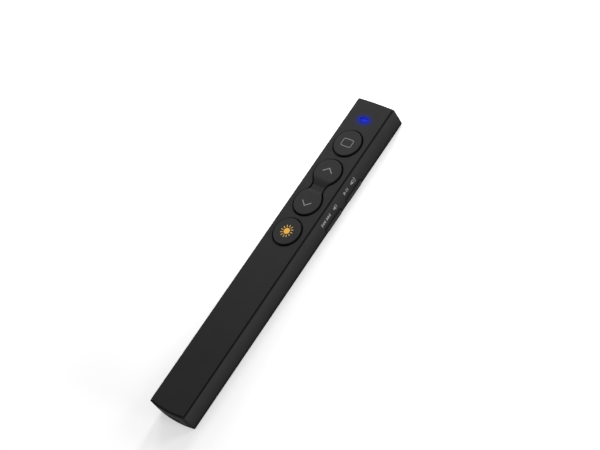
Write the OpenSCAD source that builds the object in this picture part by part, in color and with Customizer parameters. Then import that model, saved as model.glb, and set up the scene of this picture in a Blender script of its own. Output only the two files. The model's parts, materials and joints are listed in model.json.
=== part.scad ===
// Slim wireless presenter with a laser pointer.
// X points to the side with the two side keys, Y to the end where the beam leaves, Z up.
// The origin is the centre of the flat underside.

/* [Body] */
// Length of the body from tail to front, mm
body_l = 145; // [140:1:160]
// Width of the body, mm
body_w = 18.2; // [18:0.2:20]
// Height of the top face above the underside, mm
body_t = 10.3; // [10.2:0.1:12]
// How far the tail face bulges out, mm
tail_bulge = 0.85; // [0.3:0.05:1.5]
// How far the front face bulges out, mm
front_bulge = 0.2; // [0.1:0.05:0.6]
// Radius of the upright corners, mm
corner_r = 0.4; // [0.3:0.1:1.2]
// Radius of the edges round the underside, mm
bottom_r = 1.2; // [0.6:0.1:1.4]
// Thickness of the upright walls, mm
wall_t = 1.2; // [1:0.1:1.4]
// Thickness of the floor, mm
floor_t = 1; // [0.8:0.1:1.1]
// How far the long walls lean in at their top, mm
wall_lean = 0.2; // [0.1:0.05:0.25]
// Height of the part of the long walls that leans in, mm
lean_h = 3.2; // [2:0.2:4]

/* [Top cover] */
// Thickness of the cover plate, mm
cover_t = 1.2; // [1:0.1:1.4]
// Width of the housing's rim round the cover, mm
rim_w = 0.5; // [0.5:0.05:0.7]
// How far the rim lies below the top face, mm
rim_drop = 0.65; // [0.5:0.05:0.9]
// Gap between the rim and the cover, mm
seam = 0.15; // [0.1:0.05:0.25]
// Rounding of the cover's edge and of the rim, mm
edge_r = 0.2; // [0.1:0.05:0.2]

/* [Keys] */
// Distance from the front end to the menu key's centre, mm
key_from_front = 20.5; // [19.5:0.5:22]
// Distance from one key to the next, mm
key_pitch = 14.2; // [14:0.1:15]
// Diameter of the openings of the two round keys, mm
key_hole_d = 12.8; // [11:0.1:12.9]
// Diameter of the two round ends of the rocker's opening, mm
lobe_hole_d = 12.8; // [11:0.1:12.9]
// Width of the rocker's opening at its neck, mm
neck_hole_w = 7.2; // [6.2:0.1:7.6]
// Gap round each key, mm
key_gap = 0.6; // [0.3:0.05:0.65]
// How far the keys stand above the top face, mm
key_proud = 0.65; // [0.3:0.05:0.9]
// Rounding of the keys' top edges, mm
key_edge_r = 0.25; // [0.15:0.05:0.35]
// Thickness of the keys' top skin, mm
key_skin = 1.2; // [0.9:0.1:1.3]
// Thickness of the keys' walls, mm
key_wall = 1.2; // [0.9:0.1:1.4]
// How far a round key's flange reaches under the cover, mm
key_flange = 0.35; // [0.2:0.05:0.4]
// Thickness of a round key's flange, mm
key_flange_t = 0.6; // [0.4:0.1:0.7]
// How far a key goes down, mm
key_travel = 0.3; // [0.2:0.05:0.4]
// Depth of the saddle in the middle of the rocker, mm
saddle_depth = 0.7; // [0.3:0.1:0.7]
// Length of the saddle's slope down from the front pad, mm
front_slope = 3.4; // [2:0.2:4]
// Length of the saddle's slope down from the rear pad, mm
rear_slope = 1.4; // [1:0.2:3]
// Length of the saddle's level middle, mm
saddle_level = 2.2; // [1.4:0.2:3]
// Diameter of the rocker's steel pin, mm
pin_d = 1; // [0.8:0.1:1.2]
// How far the rocker's pin lies below the cover, mm
pin_drop = 1.2; // [1:0.1:1.3]

/* [Side keys] */
// Length of a side key, mm
side_key_l = 10.2; // [8:0.1:11]
// Height of a side key, mm
side_key_h = 1.8; // [1.6:0.1:2]
// Height of the side keys' middle above the underside, mm
side_key_z = 2.3; // [2.2:0.05:2.4]
// How far a side key stands out of the wall, mm
side_key_proud = 0.8; // [0.5:0.1:0.9]
// Length of the slope at each end of a side key, mm
side_key_slope = 1.1; // [0.6:0.1:1.6]
// Gap round a side key, mm
side_key_gap = 0.35; // [0.2:0.05:0.4]
// Gap round the power slider and in front of the flanges inside the wall, mm
side_gap = 0.15; // [0.1:0.05:0.2]
// How far a side key goes in, mm
side_travel = 0.3; // [0.2:0.05:0.35]

/* [Board] */
// Height of the circuit board's underside, mm
board_z = 4.2; // [4:0.1:4.3]
// Thickness of the circuit board, mm
board_t = 1; // [0.8:0.1:1.1]
// Gap between the circuit board and the side walls, mm
board_gap = 0.4; // [0.3:0.05:0.5]
// Width and length of a push switch, mm
switch_w = 4.5; // [4:0.1:4.8]
// Height of a push switch's body, mm
switch_h = 2.1; // [1.8:0.1:2.2]
// Diameter of a push switch's plunger, mm
plunger_d = 2.2; // [1.8:0.1:2.4]
// Gap round a plunger in its switch, mm
plunger_gap = 0.15; // [0.12:0.01:0.2]
// How far the board reaches behind the laser key's centre, mm
board_behind_key = 21; // [20:0.5:24]
// Shank diameter of the board screws, mm
screw_d = 1.4; // [1.2:0.1:1.5]

/* [Light and laser] */
// Distance from the front end to the status light's slot, mm
led_from_front = 8.6; // [8:0.1:9]
// Length of the status light's slot, mm
led_slot_l = 4; // [3:0.1:5]
// Width of the status light's slot, mm
led_slot_w = 1.3; // [0.8:0.1:1.4]
// How far the status light's window lies below the top face, mm
led_recess = 0.5; // [0.1:0.1:0.6]
// Height of the beam above the underside, mm
beam_z = 6; // [5.9:0.05:6.2]
// Diameter of the laser module's barrel, mm
barrel_d = 4; // [3.8:0.1:4.1]
// Length of the laser module's barrel, mm
barrel_l = 7.5; // [7:0.1:7.6]
// Diameter of the window in front of the laser, mm
window_d = 4.6; // [4:0.1:5]

/* [Battery] */
// Width of the battery cell, mm
cell_w = 12.6; // [11:0.1:13]
// Thickness of the battery cell, mm
cell_t = 5; // [4:0.1:5.4]

/* [Sockets and slide] */
// Distance from the laser key to the charge socket, mm
socket_from_key = 12.4; // [12:0.1:13]
// Travel of the power slider, mm
slider_travel = 2; // [1.5:0.1:2.4]
// How far the power slider stands out of the wall, mm
slider_proud = 0.5; // [0.3:0.1:0.6]
// Length of the receiver's grip, mm
grip_l = 6; // [5:0.5:7]
// Width of the receiver's grip, mm
grip_w = 14; // [13.4:0.1:14.2]
// Height of the receiver's grip, mm
grip_h = 6.2; // [6:0.1:6.4]
// Gap round the receiver in its bay, mm
bay_gap = 0.15; // [0.1:0.05:0.2]

/* [Hidden] */

$fn = 48;
corner_steps = 4;
arc_steps = 10;
lean_steps = 5;
eps = 0.01;
sink = 0.3;

// Colours
case_black = [0.17, 0.17, 0.18];
key_black = [0.20, 0.20, 0.21];
socket_black = [0.08, 0.08, 0.09];
steel = [0.72, 0.73, 0.75];
brass = [0.80, 0.63, 0.30];
gold = [0.88, 0.70, 0.32];
board_green = [0.05, 0.30, 0.16];
chip_black = [0.10, 0.10, 0.11];

// Levels
ledge_z = body_t - cover_t;
rim_z = body_t - rim_drop;
key_top = body_t + key_proud;
board_top = board_z + board_t;
switch_top = board_top + switch_h;
plunger_top = ledge_z - 1;
pin_z = ledge_z - pin_drop;

// Places along the body
front_y = body_l / 2;
tail_y = -body_l / 2;
menu_y = front_y - key_from_front;
page_up_y = menu_y - key_pitch;
page_down_y = page_up_y - key_pitch;
laser_y = page_down_y - key_pitch;
rocker_y = (page_up_y + page_down_y) / 2;
led_y = front_y - led_from_front;
socket_y = laser_y - socket_from_key;
inner_x = body_w / 2 - wall_t;

// Receiver: a standard USB-A plug and its grip, kept in a bay in the tail
plug_w = 12;
plug_h = 4.5;
plug_l = 12;
plug_skin = 0.3;
latch_w = 2.2;
latch_l = 2.3;
latch_from_grip = 4.5;
latch_x = 2.5;
grip_recess = 0.1;
receiver_z = body_t / 2;
grip_y = tail_y + grip_recess;
plug_y = grip_y + grip_l;
plug_end_y = plug_y + plug_l;
stop_t = 1;
stop_y = plug_end_y + sink;

// Battery behind the board
pad_t = 0.4;
cell_gap = 0.4;
cell_z = floor_t + pad_t;
cell_y = stop_y + stop_t + cell_gap;
cell_end_y = laser_y - board_behind_key - 2;
cell_l = cell_end_y - cell_y;
lead_d = 0.8;
lead_l = 4.5;

// Board outline
board_y = laser_y - board_behind_key;
board_end_y = front_y - wall_t - 0.8;
board_half_w = inner_x - board_gap;
notch_gap = 0.4;
barrel_y = front_y - wall_t - 0.2 - barrel_l;
notch_y = barrel_y - 0.6;

// Screws of the board: x and y of each
screw_spots = [[4.6, board_y + 4.2], [5.2, menu_y + 5.4], [-5.2, menu_y + 5.4]];
screw_head_d = 2.6;
screw_head_t = 0.8;
screw_l = 3;

// Round keys and rocker
key_r = key_hole_d / 2 - key_gap;
lobe_hole_r = lobe_hole_d / 2;
half_pitch = key_pitch / 2;
neck_half = neck_hole_w / 2;
neck_r = (neck_half * neck_half + half_pitch * half_pitch - lobe_hole_r * lobe_hole_r)
    / (2 * (lobe_hole_r - neck_half));
neck_x = neck_half + neck_r;
rocker_skirt = 0.4;
saddle_front = saddle_level / 3;
saddle_rear = -2 * saddle_level / 3;
ear_t = 1;
ear_x = neck_half + 0.4;
ear_r = 1.1;
pin_clear = 0.04;

// Side keys
side_key_x = body_w / 2 + side_key_proud;
side_flange_t = 0.65;
side_flange_x = inner_x - side_gap;
side_boss_x = side_flange_x - side_flange_t - 0.4;
side_switch_x = side_boss_x - 0.6;
side_switch_d = 2.6;
side_switch_h = 3;
side_plunger = 1.2;
side_plunger_in = 1;

// Power slider and its switch, on the wall across from the side keys
slider_w = 2.6;
slider_h = 1.5;
slider_z = board_top + 0.85;
slider_y = rocker_y + slider_travel / 2;
power_switch_l = 6.7;
power_switch_d = 2.7;
power_switch_h = 1.4;
power_switch_x = -inner_x + 1.2;
lever_w = 1.3;
lever_h = 0.6;

// Charge socket: a standard USB-C receptacle
socket_w = 8.94;
socket_h = 3.2;
socket_d = 7.2;
socket_skin = 0.3;
socket_recess = 0.3;
socket_gap = 0.18;
socket_z = board_top + socket_h / 2;

// Sizes of the laser parts
barrel_skin = 0.3;
bore_r = barrel_d / 2 - barrel_skin;
lens_t = 1.4;
ring_t = 0.8;

// Extrude a flat shape upwards between two heights
module slab(z0, z1) {
    translate([0, 0, z0]) linear_extrude(z1 - z0) children();
}

// Extrude a shape drawn in y and z along X
module along_x(x0, x1) {
    translate([x0, 0, 0]) rotate([90, 0, 90]) linear_extrude(x1 - x0) children();
}

// Extrude a shape drawn in x and z along Y
module along_y(y0, y1) {
    translate([0, y1, 0]) rotate([90, 0, 0]) linear_extrude(y1 - y0) children();
}

// Box given by its low and high corners
module span(low, high) {
    translate(low) cube(high - low);
}

// Rectangle with true round corners, about its centre
module round_rect(w, h, r) {
    square([w - 2 * r, h], center = true);
    square([w, h - 2 * r], center = true);
    for (x = [-1, 1], y = [-1, 1])
        translate([x * (w / 2 - r), y * (h / 2 - r)]) circle(r);
}

// Slot shape with half-round ends, about its centre
module pill(w, h) {
    square([w - h, h], center = true);
    for (side = [-1, 1]) translate([side * (w - h) / 2, 0]) circle(d = h);
}

// One end of the body's outline: corner, shallow arc, corner
function end_points(half_w, end_y, arc_r, r) =
    let (
        arc_y = end_y - arc_r,
        c = [half_w - r, arc_y + sqrt(pow(arc_r - r, 2) - pow(half_w - r, 2))],
        tilt = atan2(c.y - arc_y, c.x)
    )
    concat(
        [for (i = [0 : corner_steps]) let (a = tilt * i / corner_steps)
            [c.x + r * cos(a), c.y + r * sin(a)]],
        [for (i = [1 : arc_steps - 1]) let (a = tilt + (180 - 2 * tilt) * i / arc_steps)
            [arc_r * cos(a), arc_y + arc_r * sin(a)]],
        [for (i = [corner_steps : -1 : 0]) let (a = tilt * i / corner_steps)
            [-c.x - r * cos(a), c.y + r * sin(a)]]
    );

function arc_radius(bulge) = (pow(body_w / 2, 2) + bulge * bulge) / (2 * bulge);

// The body's outline seen from above, drawn in by an inset
function outline(inset) =
    let (half_w = body_w / 2 - inset, r = max(corner_r - inset, 0.3))
    concat(
        end_points(half_w, front_y - inset, arc_radius(front_bulge) - inset, r),
        [for (p = end_points(half_w, -tail_y - inset, arc_radius(tail_bulge) - inset, r)) -p]
    );

// Points lifted to a height, with their sides drawn in by a share of the width
function at_height(points, z, squeeze = 1) = [for (p = points) [p.x * squeeze, p.y, z]];

// Share of the width that is left where the long walls lean in
function leaning(share) = 1 - wall_lean * share * share / (body_w / 2);

// Solid through rings of equally many points, from the lowest to the highest
module loft(rings) {
    n = len(rings[0]);
    last = len(rings) - 1;
    polyhedron(
        points = [for (ring = rings) each ring],
        faces = concat(
            [[for (i = [0 : n - 1]) i]],
            [[for (i = [n - 1 : -1 : 0]) last * n + i]],
            [for (k = [0 : last - 1], i = [0 : n - 1])
                [k * n + i, (k + 1) * n + i, (k + 1) * n + (i + 1) % n, k * n + (i + 1) % n]]
        )
    );
}

// Outer form of the housing: round edges below and along the rim, long walls that lean in at their top
module housing_form() {
    lean_end = rim_z - edge_r;
    loft(concat(
        [for (a = [0 : 15 : 90])
            at_height(outline(bottom_r * (1 - sin(a))), bottom_r * (1 - cos(a)))],
        [for (i = [0 : lean_steps]) let (share = i / lean_steps)
            at_height(outline(0), lean_end - lean_h * (1 - share), leaning(share))],
        [for (a = [30 : 30 : 90])
            at_height(outline(edge_r * (1 - cos(a))), lean_end + edge_r * sin(a), leaning(1))]
    ));
}

// Opening of the rocker, or its outline when drawn in by an inset
module dumbbell(inset = 0) {
    lobe_r = lobe_hole_r - inset;
    touch = lobe_r / (lobe_hole_r + neck_r);
    for (side = [-1, 1]) translate([0, side * half_pitch]) circle(lobe_r);
    difference() {
        square([2 * neck_x * touch, 2 * half_pitch * (1 - touch)], center = true);
        for (side = [-1, 1]) translate([side * neck_x, 0]) circle(neck_r + inset + eps);
    }
}

// Seats that hold the receiver, seen from behind: centre x of each rib
bay_ribs = [-4, 0, 4];

// Middle of each snap clip along the body
clip_l = 6;
clip_t = 0.9;
clip_drop = 1.6;
clip_hook = 0.35;
clip_gap = 0.1;
clip_spots = [
    plug_y + 4, cell_y + cell_l / 2, cell_end_y, (laser_y + page_down_y) / 2,
    (page_up_y + menu_y) / 2, led_y - 2
];

module clip(side, y) {
    outer_x = inner_x - clip_gap;
    scale([side, 1, 1]) {
        span(
            [outer_x - clip_t, y - clip_l / 2, ledge_z - clip_drop],
            [outer_x, y + clip_l / 2, ledge_z + sink]
        );
        span(
            [outer_x - eps, y - clip_l / 2, ledge_z - clip_drop],
            [outer_x + clip_hook, y + clip_l / 2, ledge_z - clip_drop + 0.5]
        );
    }
}

module top_cover() {
    inset = rim_w + seam;
    color(case_black) difference() {
        union() {
            loft(concat(
                [at_height(outline(inset), ledge_z)],
                [for (a = [0 : 22.5 : 90])
                    at_height(outline(inset + edge_r * (1 - cos(a))), body_t - edge_r * (1 - sin(a)))]
            ));
            for (side = [-1, 1], y = clip_spots) clip(side, y);
            for (side = [-1, 1]) rocker_ear(side);
            for (x = bay_ribs)
                span(
                    [x - 0.5, plug_y + 0.5, receiver_z + plug_h / 2 + bay_gap],
                    [x + 0.5, plug_end_y - 0.5, ledge_z + sink]
                );
        }
        for (y = [menu_y, laser_y])
            translate([0, y, ledge_z - 1]) cylinder(d = key_hole_d, h = cover_t + 2);
        translate([0, rocker_y, 0]) slab(ledge_z - eps, body_t + 1) dumbbell();
        translate([0, led_y, 0]) slab(ledge_z - eps, body_t + 1) pill(led_slot_l, led_slot_w);
        translate([-body_w / 2, rocker_y, pin_z]) rotate([0, 90, 0]) cylinder(d = pin_d, h = body_w);
    }
}

// Ear under the cover that holds one end of the rocker's pin
module rocker_ear(side) {
    near = side * ear_x;
    far = side * (ear_x + ear_t);
    along_x(min(near, far), max(near, far)) {
        translate([rocker_y, pin_z]) circle(ear_r);
        translate([rocker_y - ear_r, pin_z]) square([2 * ear_r, ledge_z + sink - pin_z]);
    }
}

module lower_housing() {
    color(case_black) difference() {
        union() {
            difference() {
                housing_form();
                slab(floor_t, body_t) polygon(outline(wall_t));
                slab(ledge_z, body_t) polygon(outline(rim_w));
            }
            screw_posts();
            board_ledges();
            battery_ribs();
            receiver_bay();
            laser_cradle();
        }
        for (y = [page_up_y, page_down_y]) side_key_window(y);
        slider_window();
        socket_opening();
        laser_opening();
        along_y(tail_y - 1, tail_y + 1 + wall_t + tail_bulge)
            translate([0, receiver_z]) round_rect(grip_w + 2 * bay_gap, grip_h + 2 * bay_gap, 1);
        for (side = [-1, 1], y = clip_spots) clip_recess(side, y);
        for (spot = screw_spots)
            translate([spot.x, spot.y, floor_t + 0.2]) cylinder(d = screw_d + 0.1, h = board_z);
    }
}

module screw_posts() {
    for (spot = screw_spots)
        translate([spot.x, spot.y, floor_t - sink]) cylinder(d = 3.2, h = board_z - floor_t + sink);
}

// Steps along both walls that carry the board, left open where the side keys are
module board_ledges() {
    depth = board_gap + 0.4;
    key_span = side_key_l / 2 + 2;
    span([-inner_x - sink, board_y + 1, floor_t - sink], [-inner_x + depth, board_end_y - 1, board_z]);
    for (run = [[board_y + 1, page_down_y - key_span], [page_up_y + key_span, board_end_y - 1]])
        span([inner_x - depth, run[0], floor_t - sink], [inner_x + sink, run[1], board_z]);
}

// Ribs beside the cell
module battery_ribs() {
    for (side = [-1, 1], share = [0.15, 0.5, 0.85]) {
        y = cell_y + share * cell_l;
        near = side * (cell_w / 2 + 0.2);
        far = side * (inner_x + sink);
        span([min(near, far), y - 0.5, floor_t - sink], [max(near, far), y + 0.5, cell_z + cell_t * 0.6]);
    }
}

// Bay of the receiver: stop wall, side guides and seat ribs
module receiver_bay() {
    low_z = receiver_z - plug_h / 2 - bay_gap;
    guide_y = plug_y + 0.3;
    span(
        [-inner_x - sink, stop_y, floor_t - sink],
        [inner_x + sink, stop_y + stop_t, receiver_z + plug_h / 2]
    );
    for (side = [-1, 1]) {
        near = side * (plug_w / 2 + bay_gap);
        far = side * (inner_x + sink);
        span([min(near, far), guide_y, floor_t - sink], [max(near, far), stop_y + eps, receiver_z + 1.5]);
    }
    for (x = bay_ribs) span([x - 0.5, guide_y, floor_t - sink], [x + 0.5, stop_y + eps, low_z]);
    for (x = bay_ribs)
        span(
            [x - 0.5, tail_y + wall_t, floor_t - sink],
            [x + 0.5, guide_y + eps, receiver_z - grip_h / 2 - bay_gap]
        );
}

// Saddle under the laser barrel
module laser_cradle() {
    half = barrel_d / 2 + 0.2;
    difference() {
        span([-half, barrel_y + 1.5, floor_t - sink], [half, barrel_y + barrel_l - 1, beam_z - 1]);
        translate([0, barrel_y, beam_z]) rotate([-90, 0, 0]) cylinder(d = barrel_d + 0.1, h = barrel_l);
    }
}

module side_key_window(y) {
    along_x(inner_x - 0.2, body_w / 2 + 1)
        translate([y, side_key_z])
            round_rect(side_key_l + 2 * side_key_gap, side_key_h + 2 * side_key_gap, 0.8);
}

module slider_window() {
    along_x(-body_w / 2 - 1, -inner_x + 0.5)
        translate([rocker_y, slider_z])
            round_rect(slider_w + slider_travel + 2 * side_gap, slider_h + 2 * side_gap, 0.3);
}

module socket_opening() {
    along_x(-body_w / 2 - 1, -inner_x + board_gap + 0.5)
        translate([socket_y, socket_z])
            pill(socket_w + 2 * socket_gap, socket_h + 2 * socket_gap);
}

// Stepped hole in the front wall for the laser's window
module laser_opening() {
    translate([0, front_y - wall_t - 1, beam_z]) rotate([-90, 0, 0]) {
        cylinder(d = barrel_d - 1, h = wall_t + 2);
        translate([0, 0, wall_t + 0.2]) cylinder(d = window_d + 0.1, h = 2);
    }
}

module clip_recess(side, y) {
    scale([side, 1, 1])
        span(
            [inner_x - 0.2, y - clip_l / 2 - 0.2, ledge_z - clip_drop - 0.1],
            [inner_x + clip_hook, y + clip_l / 2 + 0.2, ledge_z - clip_drop + 0.6]
        );
}

// Light pipe: the slot's window, an arm over the barrel and a leg down to the light
module led_window() {
    leg_y = notch_y - 1.7;
    arm_w = 2.4;
    color([0.35, 0.45, 0.95]) {
        translate([0, led_y, 0])
            slab(ledge_z - 0.5, body_t - led_recess) pill(led_slot_l - 0.1, led_slot_w - 0.1);
        span([-arm_w / 2, leg_y - 0.6, ledge_z - 0.8], [arm_w / 2, led_y + 0.4, ledge_z - 0.1]);
        span([-arm_w / 2, leg_y - 0.6, board_top + 0.7], [arm_w / 2, leg_y + 0.6, ledge_z - 0.5]);
    }
}

module status_led() {
    leg_y = notch_y - 1.7;
    color([0.95, 0.95, 0.90]) {
        translate([0, leg_y, 0]) slab(board_top, board_top + 0.35) square([1.6, 0.8], center = true);
        translate([0, leg_y, 0]) slab(board_top + 0.3, board_top + 0.6) square([1.1, 0.8], center = true);
    }
}

module laser_window() {
    color([0.35, 0.03, 0.03])
        translate([0, front_y - 0.75, beam_z]) rotate([-90, 0, 0]) cylinder(d = window_d, h = 0.7);
}

// Round key: a shallow cup with a flange and a boss that meets the plunger
module round_key(y) {
    flange_z = ledge_z - 0.15;
    flange_r = key_hole_d / 2 + key_flange;
    translate([0, y, 0]) rotate_extrude() {
        difference() {
            union() {
                square([key_r - key_edge_r, key_top]);
                square([key_r, key_top - key_edge_r]);
                translate([key_r - key_edge_r, key_top - key_edge_r]) circle(key_edge_r);
                square([flange_r, flange_z]);
            }
            translate([-key_top, 0]) square([key_top, 2 * key_top]);
            square([flange_r + 1, flange_z - key_flange_t]);
            square([key_r - key_wall, key_top - key_skin]);
        }
        translate([0, plunger_top]) square([plunger_d / 2, key_top - key_skin + eps - plunger_top]);
    }
}

module menu_button() { color(key_black) round_key(menu_y); }
module laser_button() { color(key_black) round_key(laser_y); }

// Height of the rocker's top along its length: flat pads that curve down to a level saddle
function rocker_height(y) =
    let (
        way = y > 0 ? y - saddle_front : saddle_rear - y,
        slope = y > 0 ? front_slope : rear_slope,
        share = min(max(way / slope, 0), 1)
    )
    key_top - saddle_depth * (1 - sin(90 * share));

// Right half of the rocker's outline, from its rear end to its front end
function rocker_side(inset) =
    let (
        lobe_r = lobe_hole_r - key_gap - inset,
        neck = neck_r + key_gap + inset,
        turn = atan2(half_pitch, neck_x),
        lobe_steps = 36,
        neck_steps = 16
    )
    concat(
        [for (i = [0 : lobe_steps]) let (a = -90 + (90 + turn) * i / lobe_steps)
            [lobe_r * cos(a), -half_pitch + lobe_r * sin(a)]],
        [for (i = [1 : neck_steps - 1]) let (a = 180 + turn - 2 * turn * i / neck_steps)
            [neck_x + neck * cos(a), neck * sin(a)]],
        [for (i = [0 : lobe_steps]) let (a = -turn + (90 + turn) * i / lobe_steps)
            [lobe_r * cos(a), half_pitch + lobe_r * sin(a)]]
    );

// Whole outline of the rocker as a ring at the given depth below its top
function rocker_ring(inset, drop) =
    let (side = rocker_side(inset), n = len(side))
    concat(
        [for (p = side) [p.x, p.y, rocker_height(p.y) - drop]],
        [for (i = [n - 2 : -1 : 1]) [-side[i].x, side[i].y, rocker_height(side[i].y) - drop]]
    );

// Dumbbell-shaped solid with a saddle and a round top edge
module rocker_form(foot_z) {
    rounds = [for (a = [0 : 22.5 : 90]) rocker_ring(key_edge_r * (1 - cos(a)), key_edge_r * (1 - sin(a)))];
    foot = [for (p = rocker_ring(0, 0)) [p.x, p.y, foot_z]];
    rings = concat([foot], rounds);
    n = len(foot);
    half = n / 2;
    last = len(rings) - 1;
    polyhedron(
        points = [for (ring = rings) each ring],
        faces = concat(
            [[for (i = [0 : n - 1]) i]],
            [for (k = [0 : last - 1], i = [0 : n - 1])
                [k * n + i, (k + 1) * n + i, (k + 1) * n + (i + 1) % n, k * n + (i + 1) % n]],
            [[last * n, last * n + n - 1, last * n + 1]],
            [for (i = [1 : half - 2])
                [last * n + i, last * n + n - i, last * n + n - i - 1, last * n + i + 1]],
            [[last * n + half - 1, last * n + half + 1, last * n + half]]
        )
    );
}

module page_rocker() {
    base_z = ledge_z - rocker_skirt;
    block_half = neck_half - key_gap - 0.5;
    color(key_black) translate([0, rocker_y, 0]) difference() {
        union() {
            difference() {
                rocker_form(base_z - 1);
                slab(base_z - 2, base_z) square([body_w, 3 * key_pitch], center = true);
                slab(base_z - 2, key_top - key_skin) dumbbell(key_gap + key_wall);
            }
            span([-block_half, -1.5, pin_z], [block_half, 1.5, base_z + sink]);
            translate([-block_half, 0, pin_z]) rotate([0, 90, 0]) cylinder(r = 1.5, h = 2 * block_half);
            for (side = [-1, 1])
                translate([0, side * half_pitch, plunger_top])
                    cylinder(d = plunger_d, h = key_top - key_skin + eps - plunger_top);
        }
        translate([-body_w / 2, 0, pin_z])
            rotate([0, 90, 0]) cylinder(d = pin_d + 2 * pin_clear, h = body_w);
    }
}

module rocker_pin() {
    half = ear_x + ear_t;
    color(steel) translate([-half, rocker_y, pin_z]) rotate([0, 90, 0]) cylinder(d = pin_d, h = 2 * half);
}

// Side key: a bar with sloped ends, a flange inside the wall and a boss that meets the plunger
module side_key(y) {
    half = side_key_l / 2;
    low_z = side_key_z - side_key_h / 2;
    high_z = side_key_z + side_key_h / 2;
    bevel = 0.3;
    flange_half = half + side_key_gap + 0.3;
    low_x = side_flange_x - 0.2;
    color(key_black) {
        intersection() {
            along_x(low_x, side_key_x) translate([y, side_key_z]) round_rect(side_key_l, side_key_h, 0.65);
            slab(0, body_t) translate([0, y]) polygon([
                [low_x, -half], [body_w / 2, -half], [side_key_x, side_key_slope - half],
                [side_key_x, half - side_key_slope], [body_w / 2, half], [low_x, half]
            ]);
            along_y(y - half, y + half) polygon([
                [low_x, low_z], [side_key_x - bevel, low_z], [side_key_x, low_z + bevel],
                [side_key_x, high_z - bevel], [side_key_x - bevel, high_z], [low_x, high_z]
            ]);
        }
        span(
            [side_flange_x - side_flange_t, y - flange_half, floor_t + side_gap],
            [side_flange_x, y + flange_half, high_z + side_key_gap + 0.2]
        );
        span(
            [side_boss_x, y - side_plunger / 2, side_key_z - side_plunger / 2],
            [side_flange_x - side_flange_t + eps, y + side_plunger / 2, side_key_z + side_plunger / 2]
        );
    }
}

module front_side_key() { side_key(page_up_y); }
module rear_side_key() { side_key(page_down_y); }

module main_board() {
    notch_half = barrel_d / 2 + notch_gap;
    color(board_green) difference() {
        translate([0, (board_y + board_end_y) / 2, 0])
            slab(board_z, board_top) round_rect(2 * board_half_w, board_end_y - board_y, 0.8);
        span([-notch_half, notch_y, board_z - 1], [notch_half, board_end_y + 1, board_top + 1]);
        for (spot = screw_spots)
            translate([spot.x, spot.y, board_z - 1]) cylinder(d = screw_d + 0.3, h = board_t + 2);
    }
}

module board_screws() {
    color(steel) for (spot = screw_spots) translate([spot.x, spot.y, board_top]) difference() {
        union() {
            cylinder(d = screw_head_d, h = screw_head_t);
            translate([0, 0, -screw_l]) cylinder(d = screw_d, h = screw_l + eps);
        }
        for (turn = [0, 90])
            rotate([0, 0, turn])
                translate([0, 0, screw_head_t]) cube([1.6, 0.35, 0.8], center = true);
    }
}

// Body of a push switch on top of the board, with its four legs
module top_switch(y) {
    color(chip_black) translate([0, y, 0]) difference() {
        union() {
            slab(board_top, switch_top) round_rect(switch_w, switch_w, 0.4);
            for (side = [-1, 1], end = [-1, 1])
                translate([side * (switch_w / 2 + 0.2), end * switch_w / 3, board_top + 0.2])
                    cube([0.8, 0.7, 0.4], center = true);
        }
        translate([0, 0, board_top + 0.7]) cylinder(d = plunger_d + 2 * plunger_gap, h = switch_h);
    }
}

module menu_switch() { top_switch(menu_y); }
module page_up_switch() { top_switch(page_up_y); }
module page_down_switch() { top_switch(page_down_y); }
module laser_switch() { top_switch(laser_y); }

module top_plunger(y) {
    low_z = board_top + 0.7 + key_travel + 0.1;
    color([0.85, 0.85, 0.82]) translate([0, y, low_z]) cylinder(d = plunger_d, h = plunger_top - low_z);
}

module menu_plunger() { top_plunger(menu_y); }
module page_up_plunger() { top_plunger(page_up_y); }
module page_down_plunger() { top_plunger(page_down_y); }
module laser_plunger() { top_plunger(laser_y); }

// Body of a push switch under the board that faces the side key
module side_switch(y) {
    hole = side_plunger + 2 * plunger_gap;
    hole_end_x = side_switch_x - side_plunger_in - side_travel - 0.1;
    color(chip_black) difference() {
        span(
            [side_switch_x - side_switch_d, y - switch_w / 2, board_z - side_switch_h],
            [side_switch_x, y + switch_w / 2, board_z]
        );
        span(
            [hole_end_x, y - hole / 2, side_key_z - hole / 2],
            [side_switch_x + 1, y + hole / 2, side_key_z + hole / 2]
        );
    }
}

module front_side_switch() { side_switch(page_up_y); }
module rear_side_switch() { side_switch(page_down_y); }

module side_plunger_block(y) {
    color([0.85, 0.85, 0.82]) span(
        [side_switch_x - side_plunger_in, y - side_plunger / 2, side_key_z - side_plunger / 2],
        [side_boss_x, y + side_plunger / 2, side_key_z + side_plunger / 2]
    );
}

module front_side_plunger() { side_plunger_block(page_up_y); }
module rear_side_plunger() { side_plunger_block(page_down_y); }

// Flat chip with its index dimple
module chip(x, y, w, l, h) {
    color(chip_black) translate([x, y, 0]) difference() {
        slab(board_top, board_top + h) square([w, l], center = true);
        translate([0.5 - w / 2, l / 2 - 0.5, board_top + h - 0.1]) cylinder(r = 0.25, h = 1);
    }
}

module radio_chip() { chip(board_half_w - 2.4, rocker_y, 4, 4, 0.8); }
module charge_chip() { chip(1.8, socket_y + 2.5, 3, 3, 0.8); }

module clock_crystal() {
    color(steel) translate([board_half_w - 2.3, page_down_y - 0.6, 0])
        slab(board_top, board_top + 0.7) round_rect(3.2, 2.5, 0.4);
}

// Resistors and capacitors in two rows beside the switches
module small_parts() {
    part = [0.6, 1.2, 0.45];
    edge_x = board_half_w - 1.2;
    color([0.55, 0.45, 0.35]) for (row = [0 : 3], x = [edge_x - 1.2, edge_x])
        translate([x, laser_y - 3 + 1.8 * row, board_top + part.z / 2]) cube(part, center = true);
}

// Brass tube with a narrow mouth in front
module laser_barrel() {
    color(brass) translate([0, barrel_y, beam_z]) rotate([-90, 0, 0]) difference() {
        cylinder(d = barrel_d, h = barrel_l);
        translate([0, 0, -1]) cylinder(r = bore_r, h = barrel_l + 0.5);
        cylinder(r = bore_r - 0.5, h = barrel_l + 1);
    }
}

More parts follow.
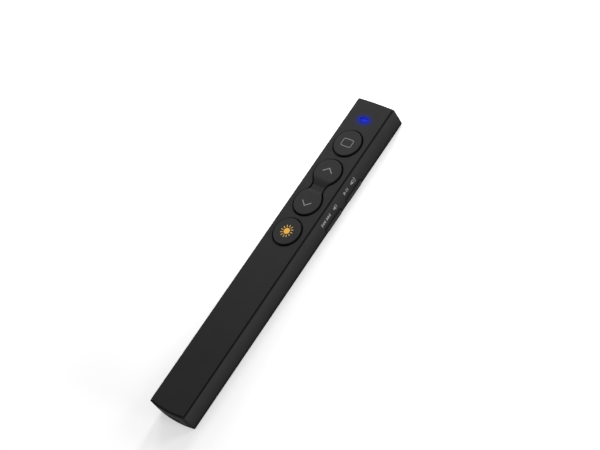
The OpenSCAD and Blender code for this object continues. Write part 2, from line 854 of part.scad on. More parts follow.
// Lens with one bulging face, seated behind the barrel's mouth
module laser_lens() {
    r = bore_r - 0.05;
    rim_t = 0.8;
    bulge = lens_t - rim_t;
    ball_r = (r * r + bulge * bulge) / (2 * bulge);
    lens_y = barrel_y + barrel_l - 0.55 - lens_t;
    color([0.80, 0.90, 0.95]) translate([0, lens_y, beam_z]) rotate([-90, 0, 0]) intersection() {
        cylinder(r = r, h = lens_t);
        translate([0, 0, ball_r]) sphere(ball_r);
    }
}

module lens_ring() {
    ring_y = barrel_y + barrel_l - 0.6 - lens_t - ring_t;
    color(steel) translate([0, ring_y, beam_z]) rotate([-90, 0, 0]) difference() {
        cylinder(r = bore_r - 0.05, h = ring_t);
        translate([0, 0, -1]) cylinder(r = bore_r - 0.6, h = ring_t + 2);
    }
}

// Diode can with its flange at the barrel's rear end and three pins to the board
module laser_diode() {
    flange_y = barrel_y + 0.1;
    pin_l = 1.3;
    pin_circle = beam_z - board_top - 0.2;
    color(gold) translate([0, flange_y, beam_z]) rotate([-90, 0, 0]) {
        cylinder(r = bore_r - 0.05, h = 0.5);
        cylinder(r = bore_r - 0.4, h = 2.2);
        for (a = [0, 90, 180])
            rotate([0, 0, a]) translate([pin_circle, 0, -pin_l]) cylinder(d = 0.35, h = pin_l + eps);
    }
}

// Flat rechargeable cell in its pouch
module battery_cell() {
    color([0.70, 0.72, 0.75]) along_y(cell_y, cell_end_y)
        translate([0, cell_z + cell_t / 2]) round_rect(cell_w, cell_t, 1.4);
}

module battery_pad() {
    color([0.25, 0.25, 0.27])
        span([1.6 - cell_w / 2, cell_y + 2, floor_t], [cell_w / 2 - 1.6, cell_end_y - 2, cell_z]);
}

module battery_leads() {
    color([0.75, 0.10, 0.08]) for (x = [0.4, 2])
        translate([x, cell_end_y, board_top + lead_d / 2])
            rotate([-90, 0, 0]) cylinder(d = lead_d, h = lead_l);
}

// Outline of the charge socket's shell, drawn in by an inset
module socket_section(inset) {
    translate([socket_y, socket_z]) pill(socket_w - 2 * inset, socket_h - 2 * inset);
}

module charge_socket() {
    mouth_x = -body_w / 2 + socket_recess;
    color(steel) difference() {
        along_x(mouth_x, mouth_x + socket_d) socket_section(0);
        along_x(mouth_x - 1, mouth_x + socket_d - 1.2) socket_section(socket_skin);
    }
}

module charge_tongue() {
    mouth_x = -body_w / 2 + socket_recess;
    color(socket_black) {
        along_x(mouth_x + 0.8, mouth_x + socket_d - 1.2)
            translate([socket_y, socket_z]) round_rect(6.7, 0.7, 0.3);
        along_x(mouth_x + socket_d - 2, mouth_x + socket_d - 1.2) socket_section(socket_skin + 0.02);
    }
}

// Body of the slide switch, with the slot that its lever moves in
module power_switch() {
    slot = lever_w + slider_travel + 0.3;
    color(steel) difference() {
        span(
            [power_switch_x, rocker_y - power_switch_l / 2, board_top],
            [power_switch_x + power_switch_d, rocker_y + power_switch_l / 2, board_top + power_switch_h]
        );
        span(
            [power_switch_x - 1, rocker_y - slot / 2, slider_z - lever_h / 2 - 0.1],
            [power_switch_x + 1.2, rocker_y + slot / 2, slider_z + lever_h / 2 + 0.1]
        );
    }
}

module power_lever() {
    color(socket_black) span(
        [-inner_x + 0.55, slider_y - lever_w / 2, slider_z - lever_h / 2],
        [power_switch_x + 0.9, slider_y + lever_w / 2, slider_z + lever_h / 2]
    );
}

// Knob that shows in the left wall, with grip lines and a plate inside that hides the slot
module power_slider() {
    plate_x = -inner_x + side_gap;
    plate_half = slider_w / 2 + slider_travel + 0.2;
    color(key_black) difference() {
        union() {
            along_x(-body_w / 2 - slider_proud, plate_x + 0.1)
                translate([slider_y, slider_z]) round_rect(slider_w, slider_h, 0.25);
            span(
                [plate_x, slider_y - plate_half, board_top + 0.1],
                [-inner_x + 0.7, slider_y + plate_half, slider_z + slider_h / 2 + 0.3]
            );
        }
        for (i = [-1 : 1])
            span(
                [-body_w / 2 - slider_proud - 1, slider_y + 0.7 * i - 0.15, 0],
                [-body_w / 2 - slider_proud + 0.2, slider_y + 0.7 * i + 0.15, body_t]
            );
        span(
            [-inner_x + 0.5, slider_y - lever_w / 2 - 0.05, slider_z - lever_h / 2 - 0.05],
            [-inner_x + 1, slider_y + lever_w / 2 + 0.05, slider_z + lever_h / 2 + 0.05]
        );
    }
}

// Grip of the receiver: its outer face follows the tail, with a nail groove across
module receiver_grip() {
    color(socket_black) difference() {
        intersection() {
            along_y(grip_y - 1, plug_y) translate([0, receiver_z]) round_rect(grip_w, grip_h, 0.9);
            slab(0, body_t) polygon(outline(grip_recess));
        }
        along_x(-4, 4) translate([tail_y + 0.2, receiver_z - 1]) circle(r = 0.7);
    }
}

module receiver_plug() {
    z = receiver_z;
    color(steel) difference() {
        along_y(plug_y, plug_end_y) translate([0, z]) round_rect(plug_w, plug_h, 0.6);
        along_y(plug_y - 1, plug_end_y + 1)
            translate([0, z]) round_rect(plug_w - 2 * plug_skin, plug_h - 2 * plug_skin, 0.3);
        for (side = [-1, 1])
            translate([side * latch_x - latch_w / 2, plug_y + latch_from_grip, z - plug_h])
                cube([latch_w, latch_l, 2 * plug_h]);
    }
}

// Plastic block and tongue inside the plug
module receiver_tongue() {
    gap = plug_skin + 0.05;
    color([0.90, 0.90, 0.88]) {
        along_y(plug_y, plug_y + 3)
            translate([0, receiver_z]) round_rect(plug_w - 2 * gap, plug_h - 2 * gap, 0.3);
        span(
            [gap + 0.3 - plug_w / 2, plug_y + 3 - eps, receiver_z],
            [plug_w / 2 - gap - 0.3, plug_end_y - 0.4, receiver_z + plug_h / 2 - gap]
        );
    }
}

module receiver_contacts() {
    contact = [1, 7, 0.12];
    color(gold) for (i = [-1.5 : 1.5])
        translate([i * 2.2 - contact.x / 2, plug_y + 4, receiver_z - contact.z]) cube(contact);
}

top_cover();
lower_housing();
led_window();
laser_window();
menu_button();
page_rocker();
laser_button();
front_side_key();
rear_side_key();
rocker_pin();
main_board();
board_screws();
menu_switch();
page_up_switch();
page_down_switch();
laser_switch();
front_side_switch();
rear_side_switch();
menu_plunger();
page_up_plunger();
page_down_plunger();
laser_plunger();
front_side_plunger();
rear_side_plunger();
status_led();
radio_chip();
clock_crystal();
charge_chip();
small_parts();
laser_barrel();
laser_lens();
lens_ring();
laser_diode();
battery_cell();
battery_pad();
battery_leads();
charge_socket();
charge_tongue();
power_switch();
power_lever();
power_slider();
receiver_grip();
receiver_plug();
receiver_tongue();
receiver_contacts();
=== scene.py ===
import json
import math

import bpy
from mathutils import Matrix, Vector


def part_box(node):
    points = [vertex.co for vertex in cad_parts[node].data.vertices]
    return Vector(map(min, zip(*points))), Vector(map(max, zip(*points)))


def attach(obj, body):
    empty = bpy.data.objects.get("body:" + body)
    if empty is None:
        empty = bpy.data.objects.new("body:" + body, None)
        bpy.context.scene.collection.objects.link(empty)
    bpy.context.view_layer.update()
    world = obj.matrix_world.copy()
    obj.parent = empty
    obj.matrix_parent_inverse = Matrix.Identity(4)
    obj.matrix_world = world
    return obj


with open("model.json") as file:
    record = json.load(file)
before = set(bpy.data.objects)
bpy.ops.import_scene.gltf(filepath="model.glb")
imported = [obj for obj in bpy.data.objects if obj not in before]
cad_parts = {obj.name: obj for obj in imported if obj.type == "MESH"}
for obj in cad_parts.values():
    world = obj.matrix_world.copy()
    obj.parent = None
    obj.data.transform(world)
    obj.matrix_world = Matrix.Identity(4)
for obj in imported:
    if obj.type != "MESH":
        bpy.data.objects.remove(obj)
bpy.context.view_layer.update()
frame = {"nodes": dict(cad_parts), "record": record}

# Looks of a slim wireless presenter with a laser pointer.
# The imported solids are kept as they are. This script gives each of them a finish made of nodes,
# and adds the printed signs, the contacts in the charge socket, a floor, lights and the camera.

MM = 0.001

UPWARD = (0, 0, 1)
BACKWARD = (0, -1, 0)

WHITE = (1, 1, 1)
BLUE_LIGHT = (0.004, 0.018, 1.0)

# Light of the world, and the floor's colour where it is seen and where it lights the body
WORLD_LIGHT = 0.28
FLOOR_COLOR = (0.95, 0.95, 0.95)
FLOOR_BOUNCE = (0.2, 0.2, 0.2)

# Glow of the floor where it is seen. It grows from the near distance, where the body's shadow lies,
# to the far distance, both in metres from the body's centre.
NEAR_GLOW = 0.46
FAR_GLOW = 0.76
NEAR_DISTANCE = 0.08
FAR_DISTANCE = 0.22

# Ink of the signs: how far it stands above its surface, and how far it reaches below
INK_HEIGHT = 0.03 * MM
INK_SINK = 0.02 * MM

# Height of the skip and play signs, in millimetres
SIGN_TALL = 1.9

# Part that the wide patches have in how a surface varies. Its fine grain has the rest.
PATCH_SHARE = 0.6

# Places of the colour sockets on a Mix node
MIX_FIRST = 6
MIX_SECOND = 7
MIX_RESULT = 2


# Places taken from the solids

def middle(node):
    low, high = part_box(node)
    return (low + high) / 2


def top_z(node):
    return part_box(node)[1].z


# Material nodes

def add_node(look, kind, inputs=None, **settings):
    """Add a node to a material or the world. Inputs are plain values or other nodes' outputs."""
    made = look.node_tree.nodes.new("ShaderNode" + kind)
    for name, value in settings.items():
        setattr(made, name, value)
    for name, value in (inputs or {}).items():
        if isinstance(value, bpy.types.NodeSocket):
            look.node_tree.links.new(value, made.inputs[name])
        else:
            made.inputs[name].default_value = value
    return made


def shader_of(look):
    return look.node_tree.nodes["Principled BSDF"]


def color_so_far(look):
    """Output that feeds the shader's colour at this point of the script."""
    return shader_of(look).inputs["Base Color"].links[0].from_socket


def set_inputs(look, **values):
    """Set sockets of the material's shader. An underscore in a name stands for a space."""
    shader = shader_of(look)
    for name, value in values.items():
        socket = shader.inputs[name.replace("_", " ")]
        if isinstance(value, bpy.types.NodeSocket):
            look.node_tree.links.new(value, socket)
        else:
            socket.default_value = value


def new_look(name, **values):
    look = bpy.data.materials.new(name)
    look.use_nodes = True
    set_inputs(look, **values)
    return look


def rgba(color, factor=1.0):
    return (color[0] * factor, color[1] * factor, color[2] * factor, 1.0)


def position(look, scale=(1, 1, 1)):
    """Position on the piece, in metres times the scale."""
    place = add_node(look, "TexCoord").outputs["Object"]
    return add_node(look, "Mapping", {"Vector": place, "Scale": scale}).outputs["Vector"]


def noise(look, size, detail=2.0, stretch=(1, 1, 1)):
    """Noise with spots of about the given size in metres, longer along an axis with a stretch above 1."""
    scale = [1 / (size * s) for s in stretch]
    spots = add_node(look, "TexNoise", {"Vector": position(look, scale), "Scale": 1.0, "Detail": detail})
    return spots.outputs["Fac"]


def ranged(look, value, low, high, start=0.3, end=0.7):
    """Turn a value from start to end into one from low to high."""
    made = add_node(look, "MapRange", {
        "Value": value, "From Min": start, "From Max": end, "To Min": low, "To Max": high,
    })
    return made.outputs["Result"]


def mixed(look, factor, first, second):
    """Mix two colours by a factor."""
    inputs = {"Factor": factor, MIX_FIRST: first, MIX_SECOND: second}
    return add_node(look, "Mix", inputs, data_type="RGBA").outputs[MIX_RESULT]


def times(look, first, second):
    return add_node(look, "Math", {0: first, 1: second}, operation="MULTIPLY").outputs[0]


def plus(look, first, second):
    return add_node(look, "Math", {0: first, 1: second}, operation="ADD").outputs[0]


def larger(look, first, second):
    return add_node(look, "Math", {0: first, 1: second}, operation="MAXIMUM").outputs[0]


def bumped(look, height, depth):
    """Normal with bumps of the given depth in metres."""
    return add_node(look, "Bump", {"Height": height, "Distance": depth, "Strength": 1.0}).outputs["Normal"]


def finish_surface(look, color, spread, patch, grain, depth, rough, detail=2.0, stretch=(1, 1, 1)):
    """Colour that varies by the spread over patches, with a fine grain that is the given depth high
    and also moves the roughness between the two values of rough."""
    patches = noise(look, patch, detail=3.0)
    fine = noise(look, grain, detail, stretch)
    blend = plus(look, times(look, patches, PATCH_SHARE), times(look, fine, 1 - PATCH_SHARE))
    factor = ranged(look, blend, low=0.0, high=1.0)
    set_inputs(
        look,
        Base_Color=mixed(look, factor, rgba(color, 1 - spread), rgba(color, 1 + spread)),
        Roughness=ranged(look, blend, low=rough[0], high=rough[1]),
        Normal=bumped(look, fine, depth),
    )


def place_along(look, axis):
    """Place along the X, Y or Z axis, in metres."""
    return add_node(look, "SeparateXYZ", {"Vector": position(look)}).outputs[axis]


def facing(look, way, start=0.35, end=0.85):
    """1 where a surface faces the given way, and 0 where it faces across or away."""
    normal = add_node(look, "TexCoord").outputs["Normal"]
    along = add_node(look, "VectorMath", {0: normal, 1: way}, operation="DOT_PRODUCT").outputs["Value"]
    return ranged(look, along, low=0.0, high=1.0, start=start, end=end)


def paint_shade(look, share, dark=(0.006, 0.006, 0.006)):
    """Paint shade by mixing the colour so far with a dark one. The share is the part of it that stays."""
    set_inputs(look, Base_Color=mixed(look, share, rgba(dark), color_so_far(look)))


def glow_around(look, centre, spread):
    """Soft spot that is 1 at the centre and fades out along x and y over the given lengths."""
    place = add_node(look, "TexCoord").outputs["Object"]
    local = add_node(
        look, "Mapping",
        {"Vector": place, "Location": centre, "Scale": (spread[0], spread[1], 1.0)},
        vector_type="TEXTURE",
    ).outputs["Vector"]
    square = add_node(look, "VectorMath", {0: local, 1: local}, operation="DOT_PRODUCT").outputs["Value"]
    return add_node(look, "Math", {0: times(look, square, -0.5)}, operation="EXPONENT").outputs[0]


# Finishes of the casing and the keys

def case_look(name, color=(0.031, 0.031, 0.0315)):
    """Black moulded plastic with a fine spark-eroded grain."""
    look = new_look(name, Specular_IOR_Level=0.05)
    finish_surface(
        look, color, spread=0.10,
        patch=9 * MM, grain=0.22 * MM, depth=0.012 * MM, rough=(0.68, 0.80),
    )
    return look


def housing_look(name, top, tail):
    """The case's plastic on the housing, with painted shade: darker towards the bottom of its walls,
    on the rim beside the cover, round the underside and on the tail's face."""
    look = case_look(name, (0.0405, 0.0405, 0.0411))
    height = place_along(look, "Z")
    # Painted shade: the walls darken towards the bottom.
    wall_height_shade = ranged(look, height, low=0.58, high=1.0, start=3.5 * MM, end=8.8 * MM)
    # Painted shade just under the cover's edge, stopped short of the tail.
    rim = ranged(look, height, low=1.0, high=0.62, start=top - 0.4 * MM, end=top - 0.2 * MM)
    rim_end = ranged(
        look, place_along(look, "Y"),
        low=1.0, high=0.0, start=tail + 0.8 * MM, end=tail + 1.2 * MM,
    )
    # Painted shade round the underside.
    underside_painted_shade = ranged(look, height, low=0.0, high=1.0, start=1.2 * MM, end=2.9 * MM)
    # Painted shade on the tail's face, darker low down.
    tail_shade = ranged(look, height, low=0.60, high=0.80, start=4.0 * MM, end=8.0 * MM)
    tail_dark = times(look, facing(look, BACKWARD), tail_shade)
    tail_face = ranged(look, tail_dark, low=1.0, high=0.0, start=0.0, end=1.0)
    upper = times(look, wall_height_shade, larger(look, rim, rim_end))
    lower = times(look, underside_painted_shade, tail_face)
    paint_shade(look, times(look, upper, lower))
    return look


def cover_look(name, centre):
    """The case's plastic on the cover, with painted shade that makes its long and front edges black,
    and with the blue light that spreads in it round the status light."""
    look = case_look(name)
    # Painted shade: what faces neither up nor back is made black.
    paint_shade(look, plus(look, facing(look, UPWARD), facing(look, BACKWARD)))
    glow = glow_around(look, centre, spread=(1.72 * MM, 1.15 * MM))
    lit = ranged(look, glow, low=0.0, high=1.0, start=0.0, end=0.6)
    set_inputs(
        look,
        Base_Color=mixed(look, lit, color_so_far(look), rgba((0.004, 0.010, 0.02))),
        Emission_Color=rgba(BLUE_LIGHT),
        Emission_Strength=times(look, glow, 0.60),
    )
    return look


def key_look(name):
    """Black rubbery plastic of the keys, smoother than the case."""
    look = new_look(name, Specular_IOR_Level=0.04)
    finish_surface(
        look, (0.034, 0.034, 0.0345), spread=0.07,
        patch=5 * MM, grain=0.12 * MM, depth=0.004 * MM, rough=(0.60, 0.70),
    )
    return look


def thumb_key_look(name, top, depth):
    """The keys' plastic on a key of the top face, with painted shade: its skirt is darker than its top.
    It is palest at the given height, and darker down to the given depth and on slopes that face back."""
    look = key_look(name)
    # Painted shade that darkens the key towards the given depth below its top.
    depth_shade = ranged(look, place_along(look, "Z"), low=0.77, high=1.0, start=top - depth, end=top)
    # Painted shade on slopes that face back.
    back = facing(look, BACKWARD, start=0.0, end=0.18)
    slope_shade = ranged(look, back, low=1.0, high=0.66, start=0.0, end=1.0)
    # Painted shade on the skirt, which faces across, and on the low and back-facing parts of the top.
    paint_shade(look, times(look, facing(look, UPWARD), times(look, depth_shade, slope_shade)))
    return look


def socket_black_look(name):
    """Black glass-filled plastic of the socket's tongue and the receiver's grip."""
    look = new_look(name, Specular_IOR_Level=0.08)
    finish_surface(
        look, (0.015, 0.015, 0.0155), spread=0.15,
        patch=3 * MM, grain=0.10 * MM, depth=0.005 * MM, rough=(0.60, 0.70),
    )
    return look


# Finishes of the windows and the lens

def light_pipe_look(name):
    """Milky plastic, lit from below by the blue status light."""
    look = new_look(name, Emission_Color=rgba(BLUE_LIGHT), Specular_IOR_Level=0.1)
    finish_surface(
        look, (0.010, 0.016, 0.10), spread=0.10,
        patch=2 * MM, grain=0.3 * MM, depth=0.002 * MM, rough=(0.45, 0.55),
    )
    cloud = noise(look, 1.2 * MM)
    set_inputs(look, Emission_Strength=ranged(look, cloud, low=0.42, high=0.50))
    return look


def red_window_look(name):
    """Clear dark red plastic of the laser's window."""
    look = new_look(name, Specular_IOR_Level=0.12)
    finish_surface(
        look, (0.09, 0.002, 0.003), spread=0.15,
        patch=2 * MM, grain=0.5 * MM, depth=0.001 * MM, rough=(0.10, 0.16),
    )
    return look


def lens_look(name):
    look = new_look(name, Transmission_Weight=0.9, IOR=1.5)
    finish_surface(
        look, (0.80, 0.88, 0.95), spread=0.03,
        patch=2 * MM, grain=0.6 * MM, depth=0.0005 * MM, rough=(0.03, 0.06),
    )
    return look


# Finishes of the metals

def metal_look(name, color, rough, grain, depth, stretch):
    """Metal with drawn or turned marks, longer along an axis with a stretch above 1."""
    look = new_look(name, Metallic=1.0)
    finish_surface(
        look, color, spread=0.08,
        patch=4 * MM, grain=grain, depth=depth, rough=rough, detail=4.0, stretch=stretch,
    )
    return look


def steel_look(name):
    return metal_look(
        name, (0.62, 0.63, 0.65), rough=(0.22, 0.36),
        grain=0.08 * MM, depth=0.0015 * MM, stretch=(1, 14, 1),
    )


def brass_look(name):
    return metal_look(
        name, (0.72, 0.52, 0.22), rough=(0.20, 0.34),
        grain=0.10 * MM, depth=0.002 * MM, stretch=(9, 1, 9),
    )


def gold_look(name):
    return metal_look(
        name, (0.83, 0.60, 0.22), rough=(0.18, 0.28),
        grain=0.12 * MM, depth=0.001 * MM, stretch=(1, 6, 1),
    )


def cell_look(name):
    """Foil pouch with soft creases."""
    look = new_look(name, Metallic=0.85)
    finish_surface(
        look, (0.58, 0.60, 0.63), spread=0.07,
        patch=7 * MM, grain=0.6 * MM, depth=0.02 * MM, rough=(0.34, 0.48),
        detail=5.0, stretch=(1, 3, 1),
    )
    return look


# Finishes of the electronics

def board_look(name):
    """Green solder mask over copper tracks that run along and across the board."""
    look = new_look(name, Specular_IOR_Level=0.4)
    finish_surface(
        look, (0.008, 0.075, 0.030), spread=0.12,
        patch=6 * MM, grain=0.25 * MM, depth=0.002 * MM, rough=(0.30, 0.42),
    )
    tracks = add_node(look, "TexBrick", {
        "Vector": position(look, (1 / MM, 1 / MM, 1 / MM)), "Scale": 1.0, "Mortar Size": 0.11,
        "Mortar Smooth": 0.1, "Brick Width": 7.0, "Row Height": 0.8,
    })
    lines = tracks.outputs["Fac"]
    set_inputs(
        look,
        Base_Color=mixed(look, lines, color_so_far(look), rgba((0.020, 0.150, 0.055))),
        Normal=bumped(look, lines, 0.02 * MM),
    )
    return look


def chip_look(name):
    """Dark epoxy of the chips and the switches."""
    look = new_look(name, Specular_IOR_Level=0.35)
    finish_surface(
        look, (0.016, 0.016, 0.018), spread=0.15,
        patch=2 * MM, grain=0.08 * MM, depth=0.004 * MM, rough=(0.42, 0.58),
    )
    return look


def plunger_look(name):
    look = new_look(name, Specular_IOR_Level=0.45, Coat_Weight=0.2, Coat_Roughness=0.2)
    finish_surface(
        look, (0.68, 0.68, 0.65), spread=0.04,
        patch=1.5 * MM, grain=0.1 * MM, depth=0.002 * MM, rough=(0.28, 0.38),
    )
    return look


def tan_parts_look(name):
    """Tan ceramic of the small resistors and capacitors."""
    look = new_look(name, Specular_IOR_Level=0.4)
    finish_surface(
        look, (0.26, 0.18, 0.12), spread=0.10,
        patch=1 * MM, grain=0.08 * MM, depth=0.003 * MM, rough=(0.35, 0.5),
    )
    return look


def foam_look(name):
    look = new_look(name, Specular_IOR_Level=0.1, Sheen_Weight=0.15)
    finish_surface(
        look, (0.035, 0.035, 0.038), spread=0.30,
        patch=1.2 * MM, grain=0.18 * MM, depth=0.05 * MM, rough=(0.85, 0.95),
    )
    return look


def lead_look(name):
    look = new_look(name, Specular_IOR_Level=0.4)
    finish_surface(
        look, (0.42, 0.018, 0.014), spread=0.08,
        patch=2 * MM, grain=0.1 * MM, depth=0.003 * MM, rough=(0.40, 0.50),
    )
    return look


def white_plastic_look(name):
    look = new_look(name, Specular_IOR_Level=0.4, Subsurface_Weight=0.05)
    finish_surface(
        look, (0.72, 0.72, 0.70), spread=0.04,
        patch=2 * MM, grain=0.12 * MM, depth=0.002 * MM, rough=(0.36, 0.46),
    )
    return look


# Finish of the signs

def ink_look(name, color):
    """Pad-printed ink: slightly uneven, with tiny pores."""
    look = new_look(name, Specular_IOR_Level=0.25)
    finish_surface(
        look, color, spread=0.12,
        patch=1.0 * MM, grain=0.06 * MM, depth=0.002 * MM, rough=(0.50, 0.62),
    )
    return look


# Give every solid the look of its slot

def dress_nodes():
    makers = {
        "case": case_look, "key": key_look, "light_pipe": light_pipe_look, "red_window": red_window_look,
        "lens": lens_look, "steel": steel_look, "brass": brass_look, "gold": gold_look,
        "board": board_look, "chip": chip_look, "plunger": plunger_look, "tan_parts": tan_parts_look,
        "cell": cell_look, "foam": foam_look, "lead": lead_look, "socket_black": socket_black_look,
        "white_plastic": white_plastic_look,
    }
    looks = {slot: make(slot) for slot, make in makers.items()}
    slots = {part["node"]: part["material_slot"] for part in frame["record"]["subparts"]}
    for node, piece in frame["nodes"].items():
        piece.data.materials.clear()
        piece.data.materials.append(looks[slots[node]])
    window = middle("led_window")
    window_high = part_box("led_window")[1]
    glow_centre = (window.x, window_high.y - 0.85 * MM, window_high.z)
    frame["nodes"]["top_cover"].data.materials[0] = cover_look("cover", glow_centre)
    housing_low, housing_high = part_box("lower_housing")
    housing = housing_look("housing", top=housing_high.z, tail=housing_low.y)
    frame["nodes"]["lower_housing"].data.materials[0] = housing
    # Keys of the top face, with painted shade on their skirts, low parts and back-facing slopes.
    painted_shade_key = thumb_key_look("painted_shade_key", top_z("page_rocker"), depth=0.7 * MM)
    for node in ("menu_button", "page_rocker", "laser_button"):
        frame["nodes"][node].data.materials[0] = painted_shade_key


# Flat shapes as pairs of points and faces, in millimetres. All their faces face up.

def joined(*shapes):
    points, faces = [], []
    for more_points, more_faces in shapes:
        first = len(points)
        points += more_points
        faces += [[first + i for i in face] for face in more_faces]
    return points, faces


def moved(shape, x, y):
    return [(px + x, py + y) for px, py in shape[0]], shape[1]


def mirrored(shape):
    """The shape turned to point back along x, with its faces still facing up."""
    return [(-x, y) for x, y in shape[0]], [face[::-1] for face in shape[1]]


def area(points):
    return [tuple(p) for p in points], [list(range(len(points)))]


def arc(x, y, radius, start, end, steps):
    angles = [math.radians(start + (end - start) * i / steps) for i in range(steps + 1)]
    return [(x + radius * math.cos(a), y + radius * math.sin(a)) for a in angles]


def disc(radius, steps=32):
    return area(arc(0, 0, radius, 0, 360 - 360 / steps, steps - 1))


def triangle(x, height, length):
    """Triangle that points along x from its base."""
    return area([(x, -height / 2), (x + length, 0), (x, height / 2)])


def bar(x, width, height):
    return area([(x, -height / 2), (x + width, -height / 2), (x + width, height / 2), (x, height / 2)])


def rounded_box(width, height, radius, steps=5):
    """Centre line of a rectangle with round corners."""
    x, y = width / 2 - radius, height / 2 - radius
    line = []
    for sx, sy, turn in ((1, 1, 0), (-1, 1, 90), (-1, -1, 180), (1, -1, 270)):
        line += arc(sx * x, sy * y, radius, turn, turn + 90, steps)
    return line


def across(way):
    """The direction a quarter turn to the left of a direction."""
    return Vector((-way.y, way.x))


def round_end(spot, way, radius, steps=6):
    """Half circle at the end of a stroke that heads the given way."""
    angle = math.degrees(math.atan2(way.y, way.x))
    return arc(spot.x, spot.y, radius, angle - 90, angle + 90, steps)


def ribbon(line, width, closed=False):
    """Stroke of even width along a line, with round ends where it is open."""
    half = width / 2
    sharpest = 0.3
    spots = [Vector(p) for p in line]
    count = len(spots)
    left, right = [], []
    for i, spot in enumerate(spots):
        ways = []
        if closed or i > 0:
            ways.append((spot - spots[i - 1]).normalized())
        if closed or i < count - 1:
            ways.append((spots[(i + 1) % count] - spot).normalized())
        side = across(sum(ways, Vector((0, 0))).normalized())
        reach = half / max(side.dot(across(ways[0])), sharpest)
        left.append(spot + side * reach)
        right.append(spot - side * reach)
    if closed:
        points = [tuple(p) for p in left + right]
        faces = [[i, count + i, count + (i + 1) % count, (i + 1) % count] for i in range(count)]
        return points, faces
    first_end = round_end(spots[0], spots[0] - spots[1], half)
    last_end = round_end(spots[-1], spots[-1] - spots[-2], half)
    return area(first_end + right[1:-1] + last_end + left[-2:0:-1])


# Signs

def screen_sign():
    return ribbon(rounded_box(width=4.7, height=3.3, radius=0.65), width=0.28, closed=True)


def chevron_sign(tip):
    """Chevron whose arms are 2.1 mm wide; tip is the place of its point above its ends."""
    return ribbon([(-2.1, 0), (0, tip), (2.1, 0)], width=0.42)


def sun_rays(count=12, inner=1.85, outer=2.6, width=0.33):
    rays = []
    for i in range(count):
        angle = math.radians(360 * i / count)
        way = Vector((math.cos(angle), math.sin(angle)))
        rays.append(ribbon([way * inner, way * outer], width))
    return joined(*rays)


def skip_sign(length=1.1, step=1.0, end_width=0.4):
    """Two triangles that point along x, and a bar at the second one's tip."""
    return joined(
        triangle(0, SIGN_TALL, length),
        triangle(step, SIGN_TALL, length),
        bar(step + length, end_width, SIGN_TALL),
    )


def play_sign(bar_width=0.32, bar_height=1.6):
    """Triangle that points along x, and two bars."""
    return joined(
        triangle(0, SIGN_TALL, length=1.3),
        bar(1.7, bar_width, bar_height),
        bar(2.4, bar_width, bar_height),
    )


def sound_sign(wave_radii):
    """Speaker that opens along x, with a sound wave of each radius in front of it."""
    speaker = area([(0, -0.45), (0.5, -0.45), (1.3, -1.2), (1.3, 1.2), (0.5, 0.45), (0, 0.45)])
    waves = [ribbon(arc(0.3, 0, radius, -30, 30, steps=8), width=0.27) for radius in wave_radii]
    return joined(speaker, *waves)


# Flat shapes turned into thin closed plates of ink

def plate(name, shape, place, look, body):
    points, faces = shape
    count = len(points)
    levels = (-INK_SINK / MM, INK_HEIGHT / MM)
    spots = [place @ (Vector((x, y, z)) * MM) for z in levels for x, y in points]
    walls = []
    ways = {(face[i - 1], face[i]) for face in faces for i in range(len(face))}
    for start, end in sorted(ways):
        if (end, start) not in ways:
            walls.append([start, end, end + count, start + count])
    bottom = [face[::-1] for face in faces]
    top = [[i + count for i in face] for face in faces]
    mesh = bpy.data.meshes.new(name)
    mesh.from_pydata(spots, [], bottom + top + walls)
    mesh.materials.append(look)
    piece = bpy.data.objects.new(name, mesh)
    bpy.context.scene.collection.objects.link(piece)
    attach(piece, body)


def on_top(x, y, z):
    return Matrix.Translation((x, y, z))


def on_right_side(x, y, z):
    """Sign's x runs along the body's y, and its y runs upwards."""
    turn = Matrix(((0, 0, 1, 0), (1, 0, 0, 0), (0, 1, 0, 0), (0, 0, 0, 1)))
    return Matrix.Translation((x, y, z)) @ turn


def print_key_signs(grey, orange, pale_orange):
    """Signs on the keys of the top face. The chevrons open a little behind their plungers' middles."""
    menu_top = on_top(0, middle("menu_button").y, top_z("menu_button"))
    rocker_top = on_top(0, 0, top_z("page_rocker"))
    laser_top = on_top(0, middle("laser_button").y, top_z("laser_button"))
    up = moved(chevron_sign(tip=1.75), 0, middle("page_up_plunger").y / MM - 0.05)
    down = moved(chevron_sign(tip=-1.8), 0, middle("page_down_plunger").y / MM - 0.2)
    plate("screen_sign", screen_sign(), menu_top, grey, "menu_key")
    plate("chevron_signs", joined(up, down), rocker_top, grey, "page_key")
    plate("sun_disc", disc(radius=1.3), laser_top, orange, "laser_key")
    plate("sun_rays", sun_rays(), laser_top, pale_orange, "laser_key")


def print_side_signs(ink):
    """Signs above the two side keys: skip back and on, quieter, play and louder."""
    wall_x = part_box("lower_housing")[1].x
    height = 6.3 * MM
    rear = middle("rear_side_key").y / MM
    front = middle("front_side_key").y / MM
    signs = joined(
        moved(mirrored(skip_sign()), rear - 3.0, 0),
        moved(skip_sign(), rear - 2.2, 0),
        moved(sound_sign([1.7]), rear + 2.6, 0),
        moved(play_sign(), front - 4.3, 0),
        moved(sound_sign([1.7, 2.5]), front + 0.5, 0),
    )
    plate("side_signs", signs, on_right_side(wall_x, 0, height), ink, "casing")


# Contacts on both faces of the charge socket's tongue

def charge_contacts(look):
    """A row of gold strips on the upper and on the lower face, with all sizes in millimetres."""
    count = 12
    pitch = 0.5
    start = 0.15
    length = 3.45
    width = 0.28
    half_thickness = 0.35
    first = -pitch * (count - 1) / 2
    strips = joined(*[moved(bar(start, length, width), 0, first + pitch * i) for i in range(count)])
    low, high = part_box("charge_tongue")
    mid = (low + high) / 2
    for name, side in (("upper_charge_contacts", 1), ("lower_charge_contacts", -1)):
        face_z = mid.z + side * half_thickness * MM
        plate(name, strips, on_top(low.x, mid.y, face_z), look, "casing")


# Floor, light and camera

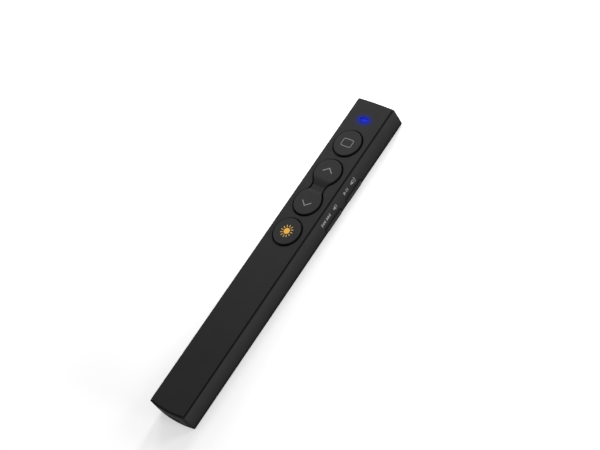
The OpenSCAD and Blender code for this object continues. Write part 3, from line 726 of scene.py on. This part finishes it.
def seen_directly(look):
    """1 for rays from the camera, and for those that a shiny or clear surface sends on."""
    path = add_node(look, "LightPath").outputs
    sent_on = larger(look, path["Is Glossy Ray"], path["Is Transmission Ray"])
    return larger(look, path["Is Camera Ray"], sent_on)


def make_world():
    """White where it is seen, and a soft light from all sides otherwise."""
    world = bpy.data.worlds.new("studio")
    bpy.context.scene.world = world
    world.use_nodes = True
    light = world.node_tree.nodes["Background"]
    light.inputs["Color"].default_value = rgba(WHITE)
    strength = ranged(world, seen_directly(world), low=WORLD_LIGHT, high=1.0, start=0.0, end=1.0)
    world.node_tree.links.new(strength, light.inputs["Strength"])


def make_floor():
    """Pale floor that sends little light back up at the body."""
    half = 3.0
    level = -0.02 * MM
    mesh = bpy.data.meshes.new("floor")
    corners = [(-half, -half, level), (half, -half, level), (half, half, level), (-half, half, level)]
    mesh.from_pydata(corners, [], [(0, 1, 2, 3)])
    floor = bpy.data.objects.new("floor", mesh)
    bpy.context.scene.collection.objects.link(floor)
    look = new_look("floor", Roughness=1.0, Specular_IOR_Level=0.0)
    seen = seen_directly(look)
    distance = add_node(look, "VectorMath", {0: position(look)}, operation="LENGTH").outputs["Value"]
    glow = ranged(look, distance, low=NEAR_GLOW, high=FAR_GLOW, start=NEAR_DISTANCE, end=FAR_DISTANCE)
    set_inputs(
        look,
        Base_Color=mixed(look, seen, rgba(FLOOR_BOUNCE), rgba(FLOOR_COLOR)),
        Emission_Color=rgba(WHITE),
        Emission_Strength=times(look, seen, glow),
    )
    mesh.materials.append(look)


def area_light(name, place, target, width, power):
    """Round soft lamp aimed at a target. It lights the scene but isn't seen itself."""
    data = bpy.data.lights.new(name, "AREA")
    data.shape = "DISK"
    data.size = width
    data.energy = power
    light = bpy.data.objects.new(name, data)
    light.visible_camera = False
    light.location = place
    light.rotation_mode = "QUATERNION"
    light.rotation_quaternion = (Vector(target) - Vector(place)).to_track_quat("-Z", "Y")
    bpy.context.scene.collection.objects.link(light)


def make_lights():
    front_end = (0, 0.05, 0.01)
    centre = (0, 0, 0.005)
    area_light("front_light", (-0.03, 0.26, 0.16), front_end, width=0.08, power=0.346)
    area_light("corner_light", (-0.09, 0.06, 0.08), front_end, width=0.08, power=0.073)
    area_light("right_light", (0.30, 0.25, 0.22), centre, width=0.15, power=0.365)
    area_light("side_light", (0.40, 0, 0.06), centre, width=0.11, power=0.717)


def make_camera():
    """Camera of the photograph, found by fitting the body's edges to it."""
    right = Vector((0.74692782, 0.5445772, -0.38148984))
    up = Vector((-0.31626729, 0.79567526, 0.51660031))
    back = Vector((0.58487078, -0.26521039, 0.76654395))
    data = bpy.data.cameras.new("camera")
    data.sensor_width = 36.0
    data.lens = 95.556
    camera = bpy.data.objects.new("camera", data)
    camera.rotation_mode = "QUATERNION"
    camera.rotation_quaternion = Matrix((right, up, back)).transposed().to_quaternion()
    camera.location = (0.355031, -0.145705, 0.471532)
    bpy.context.scene.collection.objects.link(camera)
    bpy.context.scene.camera = camera


dress_nodes()
print_key_signs(
    grey=ink_look("grey_ink", (0.19, 0.19, 0.195)),
    orange=ink_look("orange_ink", (0.87, 0.46, 0.055)),
    pale_orange=ink_look("pale_orange_ink", (0.70, 0.41, 0.08)),
)
print_side_signs(ink_look("pale_ink", (0.32, 0.32, 0.325)))
charge_contacts(gold_look("contact_gold"))
make_world()
make_floor()
make_lights()
make_camera()
bpy.context.scene.view_settings.view_transform = "Standard"
